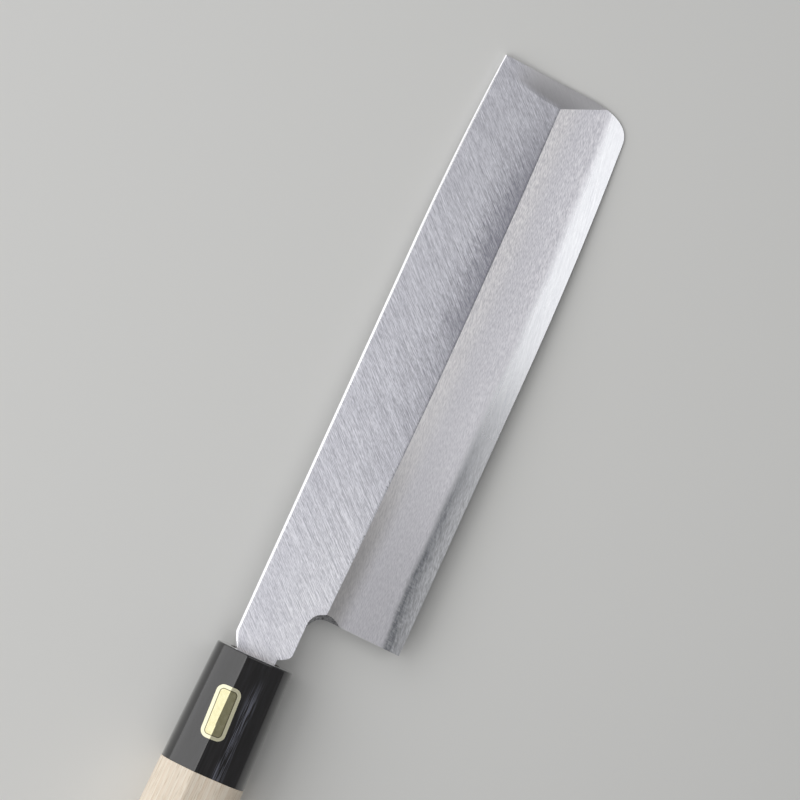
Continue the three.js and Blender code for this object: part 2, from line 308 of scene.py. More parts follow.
def bladeSection(x):
    spine, ridge, edge = spineAt(x), ridgeAt(x), edgeAt(x)
    fade = smoothShare(x, tipX - b["spineChamferFade"], tipX - b["facetAtSpine"])
    chamfer = mix(1, b["spineChamferEnd"], fade)
    profile = [(edge, backZ), (spine, backZ), (spine, faceAt(x) - b["spineChamferDrop"] * chamfer)]
    steps = [spine - b["spineChamferWidth"] * chamfer]
    steps += [ridge + b["rollWidth"] * share for share in (1, 0.75, 0.5, 0.25, 0)]
    steps += [ridge - b["crownWidth"] * share for share in (0.25, 0.5, 0.75, 1)]
    profile += [(y, surfaceAt(x, y)) for y in steps + [edge]]
    return [Vector((x, y, z)) for y, z in profile]


# Faces of the blade, told apart by the way they face and where they are
def onFacet(f):
    return f.material_index == facetIndex


def onFace(f):
    return f.normal.z > facing and not onFacet(f)


def onBevel(f):
    middle = f.calc_center_median()
    pastHeel = middle.x > b["neckLength"] - b["heelReach"]
    return onFace(f) and pastHeel and middle.y < ridgeAt(middle.x) - nearLine


def onFlat(f):
    return onFace(f) and not onBevel(f)


def onChamfer(f):
    return f.normal.z > 0.6 and f.normal.y > 0.25


def onSpine(f):
    return f.normal.y > facing


def onBack(f):
    return f.normal.z < -squareOn


def onNeckSide(f):  # heel, choil and the neck's lower side
    startX, stopX = b["neckSide"]
    return abs(f.normal.z) < sideTilt and f.normal.y < 0.5 and startX < f.calc_center_median().x < stopX


def inChoil(f):
    middle = f.calc_center_median()
    startX, stopX = (choilX + reach for reach in b["choilReach"])
    between = choilY - b["choilRadius"] < middle.y < neckY + b["wallSlack"]
    return abs(f.normal.z) < sideTilt and startX < middle.x < stopX and between


def edgesBetween(bm, first, second):
    shared = [(e, *e.link_faces) for e in bm.edges if len(e.link_faces) == 2]
    return [e for e, f, g in shared if (first(f) and second(g)) or (first(g) and second(f))]


def drawWedge():  # from before the heel to past the tip
    bm = bmesh.new()
    startX, stopX = b["neckLength"] - b["overrun"], tipX + b["overrun"]
    section = bladeSection(startX)
    end = bm.faces.new([bm.verts.new(p) for p in section])
    for i in range(1, b["sections"] + 1):
        end = growFace(bm, end)
        nextSection = bladeSection(mix(startX, stopX, i / b["sections"]))
        for v in end.verts:
            corner = min(range(len(section)), key=lambda k: (v.co - section[k]).length)
            v.co = nextSection[corner]
        section = nextSection
    return bm


def cutTip(bm):  # square end, its rounded corner planed in small steps, and the facet that thins it
    planeCut(bm, (tipX, spineAt(tipX), 0), (1, -endLean, 0))
    cornerY = edgeAt(endAt(edgeY))
    corner = Vector((endAt(cornerY), cornerY, 0))
    startX, stopY = corner.x - b["tipCornerAlongEdge"], cornerY + b["tipCornerAlongEnd"]
    cornerStart = Vector((startX, edgeAt(startX), 0))
    cornerEnd = Vector((endAt(stopY), stopY, 0))
    for i in range(1, b["tipCornerCuts"]):
        t = i / b["tipCornerCuts"]
        point = cornerStart.lerp(corner, t).lerp(corner.lerp(cornerEnd, t), t)
        heading = (corner - cornerStart).lerp(cornerEnd - corner, t)
        planeCut(bm, point, (heading.y, -heading.x, 0))
    ridgeX, spineX = endAt(ridgeAt(tipX)) - b["facetAtRidge"], tipX - b["facetAtSpine"]
    ridgeEnd = Vector((ridgeX, ridgeAt(ridgeX), faceAt(ridgeX) - rollAt(ridgeX)))
    spineEnd = Vector((spineX, spineAt(spineX), faceAt(spineX)))
    roundY = edgeAt(tipX) + b["tipCornerAlongEdge"]
    roundCorner = Vector((endAt(roundY), roundY, backZ + b["tipEndThickness"]))
    facetNormal = (roundCorner - ridgeEnd).cross(spineEnd - ridgeEnd).normalized()
    planeCut(bm, ridgeEnd, facetNormal).material_index = facetIndex


def twistFacet(bm):  # in strips, so that the facet fades out at the spine
    spineX = tipX - b["facetAtSpine"]
    chamferStart = Vector((spineX, spineAt(spineX) - b["spineChamferWidth"] * b["spineChamferEnd"], 0))
    chamferStop = Vector((tipX, spineAt(tipX) - b["spineChamferWidth"] / 2, 0))
    chamferLean = (chamferStart.y - chamferStop.y) / b["facetAtSpine"]
    cuts = [((0, y, 0), (0, 1, 0)) for y in range(*b["facetStrips"])]
    for point, normal in cuts + [(chamferStop, (chamferLean, 1, 0))]:
        sliceMesh(bm, partsOf(f for f in bm.faces if onFacet(f)), point, normal, mergeDist)
    for v in only(BMVert, partsOf(f for f in bm.faces if onFacet(f))):
        if v.co.x > endAt(v.co.y) - tiny:
            v.co.z += b["facetLift"] * smoothShare(v.co.y, *b["facetTwist"])
        if v.co.y > spineAt(v.co.x) - nearLine:  # and the spine's chamfer runs on along it
            v.co.z -= b["spineChamferDrop"] / 2


# Place, lower and upper side, back and face: round the choil, to the shoulders and into the tang
def neckStations():
    stations = []
    for i in range(1, b["choilSteps"] + 1):
        angle = math.radians(90 * i / b["choilSteps"])
        x, low = choilX + b["choilRadius"] * math.cos(angle), choilY + b["choilRadius"] * math.sin(angle)
        stations.append((x, low, b["spineHeight"], backZ, faceAt(x)))
    halfTang, halfTangEnd = b["tangWidth"] / 2, b["tangEndWidth"] / 2
    shoulderX = b["neckShoulderGap"] + b["neckShoulder"]
    bendX = b["neckShoulderGap"] + b["neckShoulder"] / 3
    for i in range(b["shoulderSteps"] + 1):
        t = 1 - i / b["shoulderSteps"]
        x = mix(mix(b["neckShoulderGap"], bendX, t), mix(bendX, shoulderX, t), t)
        low = mix(mix(-halfTang, neckY, t), neckY, t)
        high = mix(halfTang, b["spineHeight"], min(1, x / b["spineShoulder"]))
        stations.append((x, low, high, backZ, faceAt(x)))
    halfThick, halfEnd = b["tangThickness"] / 2, b["tangEndThickness"] / 2
    stations.append((0, -halfTang, halfTang, backZ, faceAt(0)))
    stations.append((-b["tangStep"], -halfTang, halfTang, -halfThick, halfThick))
    stations.append((-b["tangLength"], -halfTangEnd, halfTangEnd, -halfEnd, halfEnd))
    return stations


def drawNeck(bm):  # heel, and the neck drawn out of its upper part
    heel = planeCut(bm, (b["neckLength"], edgeY, 0), (-1, heelLean, 0))
    halves = sliceMesh(bm, partsOf([heel]), (0, choilY, 0), (0, 1, 0))
    neckEnd = max(only(BMFace, halves["geom"]), key=lambda f: f.calc_center_median().y)
    for x, low, high, bottom, top in neckStations():
        neckEnd = growFace(bm, neckEnd)
        spineY = max(v.co.y for v in neckEnd.verts)
        for v in neckEnd.verts:
            y, z = max(v.co.y, low), top if v.co.z > 0 else bottom
            if v.co.y > 0:
                y = high
                if z == top:  # the chamfer's two corners
                    atSpine = v.co.y > spineY - mergeDist
                    y -= 0 if atSpine else b["spineChamferWidth"]
                    z -= b["spineChamferDrop"] if atSpine else 0
            elif z == top and y < ridgeAt(x):
                z = surfaceAt(x, y)
            v.co = (x, y, z)
    bmesh.ops.remove_doubles(bm, verts=bm.verts, dist=mergeDist)
    faceOutwards(bm)


def leanChoil(bm):  # the choil's wall is ground at a lean
    for drop in b["choilRows"]:
        walls = [f for f in bm.faces if f.normal.x < -squareOn]
        walls = [f for f in walls if f.calc_center_median().x > b["neckLength"] - b["heelSlack"]]
        wall = max(walls, key=lambda f: f.calc_area())
        sliceMesh(bm, partsOf([wall]), (0, choilY - drop, 0), (0, 1, 0))
    leanSlope, radius, slack = math.tan(math.radians(b["choilLean"])), b["choilRadius"], 0.01
    for v in bm.verts:
        across = v.co.y - choilY
        alongWall = choilX - slack < v.co.x < choilX + radius + b["wallSlack"]
        if alongWall and abs(across) < radius + slack and v.co.z > backZ + slack:
            reach = choilX + leanSlope * (v.co.z - backZ) + math.sqrt(max(0, radius ** 2 - across ** 2))
            v.co.x = max(v.co.x, reach)
    faceOutwards(bm)


def groundBlade():
    bm = drawWedge()
    cutTip(bm)
    twistFacet(bm)
    drawNeck(bm)
    leanChoil(bm)
    easeEdges(bm, edgesBetween(bm, onFlat, onFacet), b["facetEase"], 4)  # the softest edge first
    easeEdges(bm, edgesBetween(bm, onBevel, onFacet), b["edgeEase"], 2)
    easeEdges(bm, edgesBetween(bm, onBack, onSpine), b["backEase"], 2)
    easeEdges(bm, edgesBetween(bm, onFace, onNeckSide), b["edgeEase"], 2)
    faceOutwards(bm)
    for e in edgesBetween(bm, onFlat, onBevel):  # the ridge itself stays crisp
        e.smooth = False
    return bm


def keepLayer(bm, wanted):  # keeps the iron or the steel, and closes it along the weld
    weldZ, startX = backZ + b["steelThickness"], b["steelStart"]
    for point, normal in (((0, 0, weldZ), (0, 0, 1)), ((startX, 0, 0), (1, 0, 0))):
        sliceMesh(bm, allGeom(bm), point, normal)
    inIron = [v for v in bm.verts if v.co.z > weldZ + tiny or v.co.x < startX - tiny]
    inSteel = [v for v in bm.verts if v.co.z < weldZ - tiny and v.co.x > startX + tiny]
    bmesh.ops.delete(bm, geom=inSteel if wanted == "iron" else inIron, context="VERTS")
    corners = [v for v in bm.verts if abs(v.co.z - weldZ) < tiny and abs(v.co.x - startX) < tiny]
    bmesh.ops.contextual_create(bm, geom=corners)
    openEdges = [e for e in bm.edges if len(e.link_faces) < 2]
    for axis, level in ((2, weldZ), (0, startX)):
        loop = [e for e in openEdges if all(abs(v.co[axis] - level) < tiny for v in e.verts)]
        weld = bmesh.ops.contextual_create(bm, geom=loop)["faces"][0]
        for e in weld.edges:
            e.smooth = False
    faceOutwards(bm)
    return bm


hollowSettings = {
    "depth": 0.35, "rim": 2.5, "slope": 14, "columnGap": 6, "rowGap": 4,
    "shortestEdge": 0.3, "heelSnap": 0.03,
}


def reachToLine(point, start, stop):
    along = stop - start
    share = min(1, max(0, (point - start).dot(along) / along.length_squared))
    return (start + along * share - point).length


def broadestBack(bm):
    return min(bm.faces, key=lambda f: f.normal.z * f.calc_area())


def hollowBack(bm, s):  # the shallow hollow ground into the back, inside a flat rim
    backFaces = [f for f in bm.faces if f.normal.z < -flush]
    back = bmesh.ops.dissolve_faces(bm, faces=backFaces)["region"][0]
    bmesh.ops.remove_doubles(bm, verts=back.verts, dist=s["shortestEdge"])
    heelX = b["neckLength"] + b["height"] * heelLean  # where the heel's line meets the spine
    sliceMesh(bm, partsOf([broadestBack(bm)]), (heelX, 0, 0), (1, 0, 0), s["heelSnap"])
    back = broadestBack(bm)
    bmesh.ops.inset_region(bm, faces=[back], thickness=s["rim"], use_boundary=True, use_even_offset=True)
    back.material_index = hollowIndex
    rimLines = [(e.verts[0].co.copy(), e.verts[1].co.copy()) for e in back.edges]
    columns, rows = int(b["length"] / s["columnGap"]), int(b["height"] / s["rowGap"])
    cuts = [((heelX + s["columnGap"] * (i + 1), 0, 0), (1, 0, 0)) for i in range(columns)]
    cuts += [((0, edgeY + s["rowGap"] * (i + 1), 0), (0, 1, 0)) for i in range(rows)]
    for point, normal in cuts:
        sliceMesh(bm, partsOf(f for f in bm.faces if f.material_index == hollowIndex), point, normal)
    inside = [f for f in bm.faces if f.material_index == hollowIndex]
    for v in only(BMVert, partsOf(inside)):
        if all(f.material_index == hollowIndex for f in v.link_faces):
            near = min(reachToLine(v.co, p, q) for p, q in rimLines)
            v.co.z += s["depth"] * (1 - (1 - min(1, near / s["slope"])) ** 2)
    for f in inside:
        for e in f.edges:
            if any(g.material_index == 0 for g in e.link_faces):
                e.smooth = False


def bladeFields(add, knife, s):  # mm along the blade, across it and above the ridge, and ranges along it
    x = add("SeparateXYZ", {0: knife})
    y = x.node.outputs[1]
    share = add("MapRange", {0: x, 1: b["neckLength"], 2: tipX})
    turn = add("Math", {0: share, 1: math.pi}, **times)
    bow = add("Math", {0: turn}, operation="SINE")
    bowed = add("Math", {0: bow, 1: b["ridgeBow"], 2: y}, **timesPlus)
    deepening = b["ridgeDepthAtTip"] - b["ridgeDepthAtHeel"]
    leaning = add("Math", {0: share, 1: deepening, 2: bowed}, **timesPlus)
    ridgeY = b["spineHeight"] - b["ridgeDepthAtHeel"]
    fromRidge = add("Math", {0: leaning, 1: -ridgeY}, **plus)
    along = {}
    for key, limits in s["along"].items():
        along[key] = add("MapRange", {0: x, **span(limits)})
    for key, limits in s["alongEased"].items():
        along[key] = add("MapRange", {0: x, **span(limits)}, **eased)
    return x, y, fromRidge, along


def aboveEdge(add, x, y):  # in mm
    belly = add("MapRange", {0: x, 1: tipX - b["edgeBellyLength"], 2: tipX})
    bent = add("Math", {0: belly, 1: 2}, operation="POWER")
    raised = add("Math", {0: bent, 1: -b["edgeBellyRise"], 2: y}, **timesPlus)
    return add("Math", {0: raised, 1: -edgeY}, **plus)


# Soft iron ground on a coarse stone, 45 degrees across the flat: bright short streaks, no mirror image.
# The real grit lines are near 0.1 mm apart, and are drawn 0.15 to 0.26 mm wide so that they show.
flatSettings = {
    # the heel's two colours paint a highlight beside the ridge at the heel
    "dark": "#a9a9b2", "light": "#e7e7ee", "heelHighlightDark": "#b6b6be", "heelHighlightLight": "#f6f6fb",
    # the ridge's shade and line colours are painted shade, beside the ridge and on it
    "facet": "#bbbabd", "facetEndHighlight": "#dad9db", "ridgeShade": "#c6c6ca", "ridgeShadeLine": "#6f7076",
    "roughness": (0.36, 0.5), "streakDepth": 0.012,
    "grains": {
        "streak": ((1.3, 0.16, 2), 46, 1, 0.5), "scratch": ((6, 0.15, 2), 46, 1, 0.5),
        "lone": ((18, 0.26, 2), 49, 0, 0.5),
    },
    # ranges along the blade in mm, from and to and then the values there
    "along": {"calm": (90, 150, 0.25, 0.36), "lone": (40, 110, 0.45, 0.15), "breaks": (25, 70, 0.6, 0.05)},
    "alongEased": {"atHeel": (75, 20), "towardsTip": (50, 135), "beforeTip": (178, 145, 0.3)},
    "loneBright": (0.66, 0.76), "loneDark": (0.33, 0.24),  # the noise's rare ends
    "lowHalf": (20, 5, 0.3), "shadeReach": (19, 8), "lineReach": (-0.25, -0.75),  # above the ridge
    "shadeStreaks": 8, "lineStreaks": -1.6, "lineWhole": 0.75,  # how streaky the shade and the line are
    # the facet's end colour is a painted highlight along the tip's end
    "facetSoftness": 0.8, "facetShare": 0.8, "facetAcross": (1, 5), "facetFade": (4, -6),
}


def groundIron(s):
    material, add, grain, knife = startMaterial("diagonally ground soft iron", s["grains"])
    x, y, fromRidge, along = bladeFields(add, knife, s)
    cut = add("Math", {0: grain["streak"], 1: grain["scratch"]}, **plus)
    cutLow = add("Math", {0: 1, 1: along["calm"]}, **minus)  # fainter towards the tip
    cutHigh = add("Math", {0: 1, 1: along["calm"]}, **plus)
    tone = add("MapRange", {0: cut, 1: cutLow, 2: cutHigh})
    # single longer scratches, bright or dark, mostly at the heel
    loneBright = add("MapRange", {0: grain["lone"], **span(s["loneBright"])})
    loneDark = add("MapRange", {0: grain["lone"], **span(s["loneDark"])})
    lone = add("Math", {0: loneBright, 1: loneDark}, **minus)
    tone = add("Math", {0: lone, 1: along["lone"], 2: tone}, use_clamp=True, **timesPlus)
    colour = add("Mix", {0: tone, 6: s["dark"], 7: s["light"]}, **inColour)
    # painted highlight: the flat is lighter beside the ridge at the heel
    lowHalf = add("MapRange", {0: fromRidge, **span(s["lowHalf"])}, **eased)
    heelHighlight = add("Math", {0: along["atHeel"], 1: lowHalf}, **times)
    bright = add("Mix", {0: tone, 6: s["heelHighlightDark"], 7: s["heelHighlightLight"]}, **inColour)
    # the tip's facet is stoned finer, to an even satin, and lighter towards the tip's end as a painted
    # highlight
    facetSlope = (b["facetAtRidge"] - b["facetAtSpine"]) / (b["spineHeight"] - ridgeAt(tipX)) + endLean
    facetX = tipX - b["facetAtSpine"] - facetSlope * spineAt(tipX)
    facetStart = add("Math", {0: y, 1: -facetSlope, 2: x}, **timesPlus)
    limits = (facetX - s["facetSoftness"], facetX + s["facetSoftness"], 0, s["facetShare"])
    facet = add("MapRange", {0: facetStart, **span(limits)}, **eased)
    fading = add("MapRange", {0: y, **span(s["facetFade"])}, **eased)
    stoned = add("Math", {0: facet, 1: fading}, **times)
    # painted highlight: lighter across the facet towards the tip's end
    facetAcross = add("MapRange", {0: facetStart, **span([facetX + a for a in s["facetAcross"]])})
    satin = add("Mix", {0: facetAcross, 6: s["facet"], 7: s["facetEndHighlight"]}, **inColour)
    # painted shade beside the ridge, more so towards the tip, broken up by the streaks
    streaky = add("Math", {0: cut, 1: s["shadeStreaks"], 2: fromRidge}, **timesPlus)
    nearRidge = add("MapRange", {0: streaky, **span(s["shadeReach"])}, **eased)
    shade = add("Math", {0: along["towardsTip"], 1: along["beforeTip"]}, **times)
    shade = add("Math", {0: nearRidge, 1: shade}, **times)
    shade = add("Math", {0: shade, 1: facet}, use_clamp=True, **minus)
    # and a thin painted shade line on the ridge itself
    whole = add("MapRange", {0: grain["streak"], 1: along["breaks"], 2: s["lineWhole"]})
    jagged = add("Math", {0: grain["streak"], 1: s["lineStreaks"], 2: fromRidge}, **timesPlus)
    onRidge = add("MapRange", {0: jagged, **span(s["lineReach"]), 4: whole})
    onRidge = add("Math", {0: onRidge, 1: facet}, use_clamp=True, **minus)
    layers = [
        (heelHighlight, bright, "MIX"), (stoned, satin, "MIX"),
        (shade, s["ridgeShade"], "MULTIPLY"), (onRidge, s["ridgeShadeLine"], "MIX")]
    for share, tint, blend in layers:
        colour = add("Mix", {0: share, 6: colour, 7: tint}, blend_type=blend, **inColour)
    rough = add("MapRange", {0: tone, **span((0, 1, *s["roughness"]))})
    sockets = {"Base Color": colour, "Roughness": rough, "Metallic": 1}
    return finishMaterial(material, sockets, cut, s["streakDepth"])


# The bevel is honed along the blade: soft iron comes out hazy and a little warm near the ridge,
# the hard steel below it fine and bright, and the weld line between them soft and uneven.
# Honing lines are near 0.01 mm wide, and are drawn 0.2 to 0.3 mm wide so that they show.
bevelSettings = {
    "iron": "#e2e1e6", "ironBright": "#e9e8ed", "ironShine": "#f0eff4", "ridgeDull": "#bab8b7",
    "ridgeBright": "#f2f0f1", "hazeShade": "#cfcfd3", "steelDark": "#cacbcf", "steelLight": "#d3d4d7",
    "weldShade": "#82848a", "ironRoughness": 0.43, "honeDepth": 0.01, "steelWidth": 6.0,
    "grains": {
        "haze": ((1.3, 0.2, 2), 8, 1, 0.5), "hone": ((8, 0.3, 2), 8, 2, 0.5),
        "mottle": ((2.2, 0.6, 2), 8, 2, 0.5), "cross": ((1.5, 0.4, 2), 75, 1, 0.5),
        "speck": ((1.6, 0.3, 2), 8, 1, 0.5), "wander": ((14, 40, 40), 0, 2, 0.5),
    },
    "along": {  # ranges, as above
        "uneven": (20, 50, 1.5, 0.4), "softness": (40, 110, 0.9, 1.9),  # of the weld
        "polish": (50, 100, 0.37, 0.22), "livelier": (80, 130, 0.6, 1),
    },
    "alongEased": {"heelDrop": (16, 30, -1.6, -0.5), "awayFromHeel": (30, 80), "atHeel": (100, 50)},
    "nearRidge": (-7.5, -1.5, 0, 0.85), "towardsWeld": (15, 8), "dullStart": 0.6,  # across the blade
    "patchiness": 0.75, "speckTone": (0.3, 0.75, 0.8, 1.27), "steelHaze": 0.2, "steelBump": 0.3,
}


def honedBevel(name, s):
    material, add, grain, knife = startMaterial(name, s["grains"])
    x, y, fromRidge, along = bladeFields(add, knife, s)
    # weld line, wandering by a few tenths and lower at the heel
    mottled = add("Math", {0: grain["mottle"], 1: noiseMean}, **minus)
    ragged = add("Math", {0: mottled, 1: along["uneven"], 2: grain["wander"]}, **timesPlus)
    wanderBy = add("Math", {0: ragged, 1: along["heelDrop"]}, **plus)
    aboveWeld = add("Math", {0: aboveEdge(add, x, y), 1: wanderBy}, **minus)
    high = add("Math", {0: along["softness"], 1: s["steelWidth"]}, **plus)
    low = add("Math", {0: s["steelWidth"], 1: along["softness"]}, **minus)
    steel = add("MapRange", {0: aboveWeld, 1: high, 2: low}, **eased)
    # the iron is dull beside the ridge at the heel, and brighter towards the weld and the tip
    nearRidge = add("MapRange", {0: fromRidge, **span(s["nearRidge"])}, **eased)
    band = add("Mix", {0: along["awayFromHeel"], 6: s["ridgeDull"], 7: s["ridgeBright"]}, **inColour)
    towardsWeld = add("MapRange", {0: aboveWeld, **span(s["towardsWeld"])}, **eased)
    shining = add("Mix", {0: towardsWeld, 6: s["ironBright"], 7: s["ironShine"]}, **inColour)
    iron = add("Mix", {0: along["awayFromHeel"], 6: s["iron"], 7: shining}, **inColour)
    iron = add("Mix", {0: nearRidge, 6: iron, 7: band}, **inColour)
    # the steel is bright, but in the heel half it is dull beside the weld
    honeTone = add("MapRange", {0: grain["hone"], **span(noiseSpan)})
    bright = add("Mix", {0: honeTone, 6: s["steelDark"], 7: s["steelLight"]}, **inColour)
    nearWeld = add("MapRange", {0: aboveWeld, 1: s["dullStart"], 2: s["steelWidth"]}, **eased)
    scoured = add("Math", {0: noiseMean, 1: grain["cross"]}, **minus)
    scoured = add("Math", {0: scoured, 1: mottled}, **minus)
    patchy = add("Math", {0: scoured, 1: along["uneven"], 2: s["patchiness"]}, use_clamp=True, **timesPlus)
    nearWeld = add("Math", {0: nearWeld, 1: patchy}, **times)
    dull = add("Math", {0: nearWeld, 1: along["atHeel"]}, **times)
    bright = add("Mix", {0: dull, 6: bright, 7: s["weldShade"]}, **inColour)
    # fine streaks along the dull part
    speckled = add("MapRange", {0: grain["speck"], **span(s["speckTone"])})
    speckled = add("MapRange", {0: along["atHeel"], 3: 1, 4: speckled})
    bright = add("VectorMath", {0: bright, "Scale": speckled}, operation="SCALE")
    colour = add("Mix", {0: steel, 6: iron, 7: bright}, **inColour)
    # haze, livelier towards the tip, and the hard steel takes less of it
    hazeTone = add("MapRange", {0: grain["haze"], **span(noiseSpan)})
    hazed = add("Mix", {0: hazeTone, 6: s["hazeShade"], 7: "#ffffff"}, **inColour)
    hazeShare = add("MapRange", {0: steel, 3: along["livelier"], 4: s["steelHaze"]})
    colour = add("Mix", {0: hazeShare, 6: colour, 7: hazed}, blend_type="MULTIPLY", **inColour)
    rough = add("MapRange", {0: steel, 3: s["ironRoughness"], 4: along["polish"]})
    height = add("Math", {0: grain["haze"], 1: grain["hone"]}, **plus)
    fineness = add("MapRange", {0: steel, 3: 1, 4: s["steelBump"]})
    height = add("Math", {0: height, 1: fineness}, **times)
    sockets = {"Base Color": colour, "Roughness": rough, "Metallic": 1}
    return finishMaterial(material, sockets, height, s["honeDepth"])


# The choil is left from a coarse wheel: grey, pitted and rough. The back's hollow is ground across the blade
# and left satin. Its rim and the spine's chamfer are stoned along the blade, finer and brighter.
# The lines are finer than 0.1 mm, and are drawn 0.25 to 0.3 mm wide so that they show.
choilFinish = {
    "dark": "#5d5d62", "light": "#c6c6ca", "tone": (0.35, 0.65), "depth": 0.06, "roughness": 0.5,
    "grains": {"line": ((0.5, 0.5, 0.5), 0, 3, 0.5)},
}
hollowFinish = {
    "dark": "#bcbec4", "light": "#d3d4d9", "tone": noiseSpan, "depth": 0.01, "roughness": 0.34,
    "grains": {"line": ((0.3, 14, 4), 0, 3, 0.6)},
}
chamferFinish = {
    "dark": "#e4e4e8", "light": "#f4f4f6", "tone": noiseSpan, "depth": 0.006, "roughness": 0.25,
    "grains": {"line": ((10, 0.25, 4), 0, 3, 0.6)},
}
rimFinish = {**chamferFinish, "dark": "#cbccd1", "light": "#dcdde1", "roughness": 0.24}


def plainGround(name, s):
    material, add, grain, _ = startMaterial(name, s["grains"])
    tone = add("MapRange", {0: grain["line"], **span(s["tone"])})
    colour = add("Mix", {0: tone, 6: s["dark"], 7: s["light"]}, **inColour)
    sockets = {"Base Color": colour, "Roughness": s["roughness"], "Metallic": 1}
    return finishMaterial(material, sockets, grain["line"], s["depth"])


iron = keepLayer(groundBlade(), "iron")
for f in iron.faces:
    f.material_index = 1 if onBevel(f) else 2 if inChoil(f) else 3 if onChamfer(f) else 0
wheelGround = plainGround("coarse wheel-ground iron", choilFinish)
ironMaterials = [
    groundIron(flatSettings), honedBevel("hazy soft iron", bevelSettings), wheelGround,
    plainGround("stoned bright iron", chamferFinish)]
finishPiece(iron, "ironBlade", "iron_blade_body", ironMaterials)

steel = keepLayer(groundBlade(), "steel")
hollowBack(steel, hollowSettings)
for f in steel.faces:
    if f.material_index != hollowIndex:
        f.material_index = 3 if onBack(f) else 2 if inChoil(f) else 0
steelMaterials = [
    honedBevel("bright hard steel", bevelSettings), plainGround("satin hollow-ground steel", hollowFinish),
    wheelGround, plainGround("stoned flat hard steel", rimFinish)]
finishPiece(steel, "steelEdge", "steel_edge_plate", steelMaterials)


# Handle and ferrule share one chestnut section: a squarish oval with flats that rise to a ridge
sectionSettings = {
    "frontHeight": 22.9, "frontWidth": 18.8, "buttHeight": 28, "buttWidth": 23, "flare": 1.8,
    "squareness": 2.3, "ridgePlace": 0.18, "ridgeRise": 0.075, "points": 144, "roundSteps": 4,
    "ferruleLength": 35.5, "tenonHeight": 14.8, "tenonWidth": 11.7, "glueGap": 0.08,
    "ridgeAngle": 0.2, "ridgeEdge": 1,  # the ridge's edges bend more than this and are longer
}


def chestnutSection(s):
    count, power = s["points"], 2 / s["squareness"]
    oval = []
    for i in range(count):
        angle = 2 * math.pi * i / count
        oval.append(Vector([math.copysign(abs(c) ** power, c) for c in (math.cos(angle), math.sin(angle))]))
    ridge = Vector((s["ridgePlace"], 1 + s["ridgeRise"]))
    faced = [i for i, p in enumerate(oval) if (oval[(i + 1) % count] - p).cross(ridge - p) < 0]
    first, last = faced[0], faced[-1] + 1
    top = round((first + last) / 2)
    for i in range(first + 1, last):  # the sides that face the ridge become the two flats
        oval[i] = oval[first].lerp(ridge, (i - first) / (top - first)) if i <= top else \
            oval[last].lerp(ridge, (last - i) / (last - top))
    return oval


chestnut = chestnutSection(sectionSettings)


def handleHalves(x, grow=0):
    s = sectionSettings
    share = 1 - (1 + x / handleLength) ** s["flare"]
    height = mix(s["frontHeight"], s["buttHeight"], share) / 2
    width = mix(s["frontWidth"], s["buttWidth"], share) / 2
    return height + grow, width + grow


def tenonHalves(grow=0):
    return [sectionSettings[size] / 2 + grow for size in ("tenonHeight", "tenonWidth")]


def startRing(bm, x):
    verts = bmesh.ops.create_circle(bm, segments=len(chestnut), radius=1)["verts"]
    height, width = handleHalves(x)
    for v, p in zip(verts, chestnut):
        v.co = (x, p.x * height, p.y * width)
    return [e for e in bm.edges if all(v in verts for v in e.verts)]


def stretchRing(bm, edges, fromX, toX, fromGrow=0, toGrow=0):
    verts, edges = growRing(bm, edges)
    old, new = handleHalves(fromX, fromGrow), handleHalves(toX, toGrow)
    bmesh.ops.scale(bm, vec=(1, new[0] / old[0], new[1] / old[1]), verts=verts)
    bmesh.ops.translate(bm, vec=(toX - fromX, 0, 0), verts=verts)
    return edges


def drawLength(bm, edges, fromX, toX, steps):
    places = [mix(fromX, toX, i / steps) for i in range(steps + 1)]
    for x, nextX in zip(places, places[1:]):
        edges = stretchRing(bm, edges, x, nextX)
    return edges


def roundEnd(bm, edges, endX, radius, inward):  # takes the last ring round an edge of this radius
    last = (endX + inward * radius, 0)
    steps = sectionSettings["roundSteps"]
    for i in range(1, steps + 1):
        angle = math.radians(90 * i / steps)
        nextRing = (endX + inward * radius * (1 - math.sin(angle)), -radius * (1 - math.cos(angle)))
        edges = stretchRing(bm, edges, last[0], nextRing[0], last[1], nextRing[1])
        last = nextRing
    return edges


def innerRing(bm, edges, x, halves, square=False):  # a like ring on an oval, or on the tang's slot
    verts, edges = growRing(bm, edges)
    high, wide = max(v.co.y for v in verts), max(v.co.z for v in verts)
    for v in verts:
        y, z = v.co.y / high, v.co.z / wide
        reach = max(abs(y), abs(z)) if square else math.hypot(y, z)
        v.co = (x, halves[0] * y / reach, halves[1] * z / reach)
    return edges


def easeRidge(bm, width):
    ridge = []
    for e in bm.edges:
        start, stop = (v.co for v in e.verts)
        middle = (start + stop) / 2
        long = abs(start.x - stop.x) > sectionSettings["ridgeEdge"]
        bent = e.calc_face_angle(0) > sectionSettings["ridgeAngle"]
        if long and bent and middle.z > handleHalves(middle.x)[1]:
            ridge.append(e)
    easeEdges(bm, ridge, width, 3)


ferruleSettings = {"frontRound": 0.5, "ridgeEase": 0.25, "steps": 8}


def makeFerrule(s):
    bm = bmesh.new()
    backX = -sectionSettings["ferruleLength"]
    backRing = startRing(bm, backX)
    edges = drawLength(bm, backRing, backX, -s["frontRound"], s["steps"])
    edges = roundEnd(bm, edges, 0, s["frontRound"], -1)
    bore = tenonHalves(sectionSettings["glueGap"])
    edges = innerRing(bm, edges, 0, bore)
    edges = innerRing(bm, edges, backX, bore)
    bmesh.ops.bridge_loops(bm, edges=backRing + edges)
    easeRidge(bm, s["ridgeEase"])
    return bm


